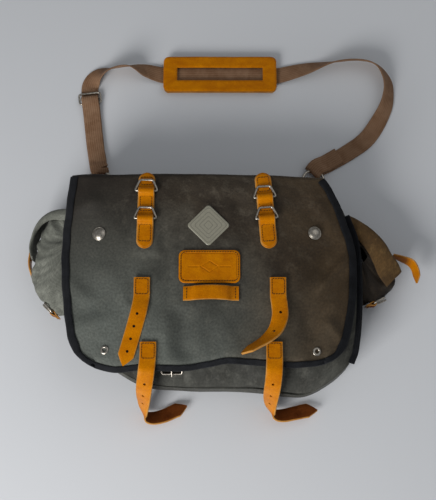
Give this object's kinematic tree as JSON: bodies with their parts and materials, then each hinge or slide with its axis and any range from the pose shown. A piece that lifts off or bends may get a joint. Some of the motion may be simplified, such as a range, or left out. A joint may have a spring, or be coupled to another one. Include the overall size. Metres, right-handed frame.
{
  "type": "satchel bag",
  "caption": "Waxed canvas satchel lying on its back, with leather straps, lashing rings, side pockets, an opening flap and a padded shoulder strap.",
  "frame": {"origin": "on the underside of the flat back panel, between the bag's two sides and about halfway from base to mouth", "axes": "+X across the bag to the wearer's left as the front is seen, +Y from the base to the mouth, +Z from the back out of the front"},
  "size_m": [0.5359, 0.5356, 0.1019],
  "materials": {
    "waxed_canvas": "waxed",
    "side_canvas": "waxed",
    "binding_tape": "matte",
    "leather": "satin",
    "webbing": "matte",
    "nickel_steel": "polished",
    "reflective_film": "satin",
    "stiffener_board": "matte"
  },
  "bodies": {
    "bag": {"back_panel": "waxed_canvas", "front_panel": "waxed_canvas", "gusset": "waxed_canvas", "gusset_binding": "binding_tape", "front_pocket": "waxed_canvas", "inner_pocket": "waxed_canvas", "base_stiffener": "stiffener_board", "side_pouch_left": "side_canvas", "side_pouch_right": "side_canvas", "dring_tab_left": "leather", "dring_tab_right": "leather", "front_chape_left": "leather", "front_chape_right": "leather", "side_chape_left": "leather", "side_chape_right": "leather"},
    "roof": {"flap_roof": "waxed_canvas"},
    "flap": {"flap_front": "waxed_canvas", "flap_binding": "binding_tape", "ring_patch_left": "leather", "ring_patch_right": "leather", "rivets": "nickel_steel", "grommets": "nickel_steel", "reflector": "reflective_film", "label": "leather", "light_tab": "leather", "upper_base_left": "leather", "upper_base_right": "leather", "lower_base_left": "leather", "lower_base_right": "leather"},
    "shoulder": {"dring_left": "nickel_steel", "dring_right": "nickel_steel", "webbing_left": "webbing", "webbing_return": "webbing", "webbing_right": "webbing", "webbing_pad": "webbing", "pad_leather": "leather", "pad_backing": "leather"},
    "slider": {"slider_frame": "nickel_steel", "webbing_stub": "webbing"},
    "ring_upper_left": {"ring_upper_left": "nickel_steel"},
    "ring_lower_left": {"ring_lower_left": "nickel_steel"},
    "ring_upper_right": {"ring_upper_right": "nickel_steel"},
    "ring_lower_right": {"ring_lower_right": "nickel_steel"},
    "upper_strap_left": {"upper_strap_left": "leather"},
    "upper_strap_right": {"upper_strap_right": "leather"},
    "lower_strap_left": {"lower_strap_left": "leather"},
    "lower_strap_right": {"lower_strap_right": "leather"},
    "pocket_lid_left": {"pocket_lid_left": "side_canvas"},
    "pocket_lid_right": {"pocket_lid_right": "side_canvas"},
    "pocket_strap_left": {"pocket_strap_left": "leather"},
    "pocket_strap_right": {"pocket_strap_right": "leather"},
    "buckle_front_left": {"buckle_front_left": "nickel_steel"},
    "prong_front_left": {"prong_front_left": "nickel_steel"},
    "buckle_front_right": {"buckle_front_right": "nickel_steel"},
    "prong_front_right": {"prong_front_right": "nickel_steel"},
    "buckle_side_left": {"buckle_side_left": "nickel_steel"},
    "prong_side_left": {"prong_side_left": "nickel_steel"},
    "buckle_side_right": {"buckle_side_right": "nickel_steel"},
    "prong_side_right": {"prong_side_right": "nickel_steel"}
  },
  "joints": [
    {"name": "flap_open", "type": "hinge", "parent": "bag", "child": "roof", "pos_m": [0, 0.118, 0.012], "axis": [-1, 0, 0], "range_deg": [0, 60]},
    {"name": "flap_fold", "type": "hinge", "parent": "roof", "child": "flap", "pos_m": [0, 0.1185, 0.095], "axis": [-1, 0, 0], "range_deg": [0, 95]},
    {"name": "ring_upper_left_swing", "type": "hinge", "parent": "flap", "child": "ring_upper_left", "pos_m": [-0.08404, 0.093, 0.0988], "axis": [0.9998, -0.0175, 0], "range_deg": [0, 150]},
    {"name": "ring_lower_left_swing", "type": "hinge", "parent": "flap", "child": "ring_lower_left", "pos_m": [-0.0847, 0.055, 0.0988], "axis": [0.9998, -0.0175, 0], "range_deg": [0, 150]},
    {"name": "ring_upper_right_swing", "type": "hinge", "parent": "flap", "child": "ring_upper_right", "pos_m": [0.07313, 0.08395, 0.0988], "axis": [0.9969, 0.0785, 0], "range_deg": [0, 150]},
    {"name": "ring_lower_right_swing", "type": "hinge", "parent": "flap", "child": "ring_lower_right", "pos_m": [0.0754, 0.05504, 0.0988], "axis": [0.9969, 0.0785, 0], "range_deg": [0, 150]},
    {"name": "upper_strap_left_lift", "type": "hinge", "parent": "flap", "child": "upper_strap_left", "pos_m": [-0.0875, -0.0493, 0.0973], "axis": [-1, 0, 0], "range_deg": [0, 150]},
    {"name": "upper_strap_right_lift", "type": "hinge", "parent": "flap", "child": "upper_strap_right", "pos_m": [0.089, -0.0493, 0.0973], "axis": [-1, 0, 0], "range_deg": [0, 150]},
    {"name": "lower_strap_left_lift", "type": "hinge", "parent": "flap", "child": "lower_strap_left", "pos_m": [-0.078, -0.1323, 0.0973], "axis": [-1, 0, 0], "range_deg": [0, 120]},
    {"name": "lower_strap_right_lift", "type": "hinge", "parent": "flap", "child": "lower_strap_right", "pos_m": [0.083, -0.1323, 0.0973], "axis": [-1, 0, 0], "range_deg": [0, 120]},
    {"name": "shoulder_swing", "type": "hinge", "parent": "bag", "child": "shoulder", "pos_m": [0, 0.138, 0.007], "axis": [-1, 0, 0], "range_deg": [-90, 0]},
    {"name": "slider_slide", "type": "slide", "parent": "shoulder", "child": "slider", "axis": [-0.1323, 0.9912, 0], "range_m": [-0.03, 0.02]},
    {"name": "pocket_lid_left_open", "type": "hinge", "parent": "bag", "child": "pocket_lid_left", "pos_m": [-0.1805, 0.081, 0.029], "axis": [0, 0, -1], "range_deg": [0, 80]},
    {"name": "pocket_lid_right_open", "type": "hinge", "parent": "bag", "child": "pocket_lid_right", "pos_m": [0.1895, 0.073, 0.029], "axis": [0, 0, 1], "range_deg": [0, 80]},
    {"name": "pocket_strap_left_swing", "type": "hinge", "parent": "pocket_lid_left", "child": "pocket_strap_left", "pos_m": [-0.2468, 0.0288, 0.029], "axis": [0, 0, -1], "range_deg": [0, 70]},
    {"name": "pocket_strap_right_swing", "type": "hinge", "parent": "pocket_lid_right", "child": "pocket_strap_right", "pos_m": [0.2546, 0.0206, 0.029], "axis": [0, 0, 1], "range_deg": [-25, 60]},
    {"name": "buckle_front_left_turn", "type": "hinge", "parent": "bag", "child": "buckle_front_left", "pos_m": [-0.049, -0.128, 0.0715], "axis": [-1, 0, 0], "range_deg": [0, 40]},
    {"name": "prong_front_left_turn", "type": "hinge", "parent": "buckle_front_left", "child": "prong_front_left", "pos_m": [-0.049, -0.128, 0.0715], "axis": [-1, 0, 0], "range_deg": [0, 35]},
    {"name": "buckle_front_right_turn", "type": "hinge", "parent": "bag", "child": "buckle_front_right", "pos_m": [0.116, -0.116, 0.0785], "axis": [-1, 0, 0], "range_deg": [0, 14]},
    {"name": "prong_front_right_turn", "type": "hinge", "parent": "buckle_front_right", "child": "prong_front_right", "pos_m": [0.116, -0.116, 0.0785], "axis": [-1, 0, 0], "range_deg": [0, 8]},
    {"name": "buckle_side_left_turn", "type": "hinge", "parent": "bag", "child": "buckle_side_left", "pos_m": [-0.2132, -0.0597, 0.029], "axis": [0, 0, 1], "range_deg": [0, 90]},
    {"name": "prong_side_left_turn", "type": "hinge", "parent": "buckle_side_left", "child": "prong_side_left", "pos_m": [-0.2132, -0.0597, 0.029], "axis": [0, 0, 1], "range_deg": [0, 60]},
    {"name": "buckle_side_right_turn", "type": "hinge", "parent": "bag", "child": "buckle_side_right", "pos_m": [0.223, -0.047, 0.029], "axis": [0, 0, -1], "range_deg": [0, 90]},
    {"name": "prong_side_right_turn", "type": "hinge", "parent": "buckle_side_right", "child": "prong_side_right", "pos_m": [0.223, -0.047, 0.029], "axis": [0, 0, -1], "range_deg": [0, 60]}
  ],
  "couplings": [
    {"joint": "flap_fold", "follows": "flap_open", "ratio": 1.5832}
  ]
}
